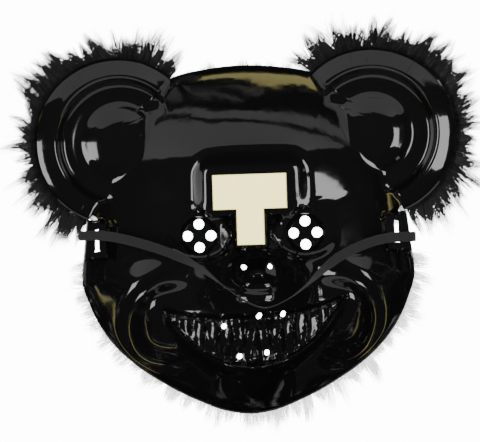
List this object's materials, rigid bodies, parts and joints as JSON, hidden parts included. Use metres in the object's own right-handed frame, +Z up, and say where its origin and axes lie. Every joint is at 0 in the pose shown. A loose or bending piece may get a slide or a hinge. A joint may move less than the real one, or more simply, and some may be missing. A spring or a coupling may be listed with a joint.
{
  "type": "animal face mask",
  "caption": "Moulded black plastic bear mask, hollow behind, with round ears, button eyes, a toothed grin, a foam brow pad, an elastic strap and furry edges.",
  "frame": {"origin": "on the pad's rear face, where the bar of its T meets the stem; the pad rests on the wearer's brow there", "axes": "+Z up, +Y the way the wearer looks, +X to the wearer's right"},
  "size_m": [0.342, 0.0938, 0.2906],
  "materials": {
    "black_plastic": "high gloss, as vacuum formed",
    "cream_foam": "matte open foam",
    "elastic": "matte woven elastic",
    "black_fur": "long shaggy pile",
    "white_fur": "long shaggy pile"
  },
  "bodies": {
    "root": {"shell": "black_plastic", "foam_pad": "cream_foam", "strap": "elastic", "ear_fur_left": "black_fur", "ear_fur_right": "black_fur", "eye_fur_left": "black_fur", "eye_fur_right": "black_fur", "face_fur": "white_fur"}
  },
  "joints": []
}
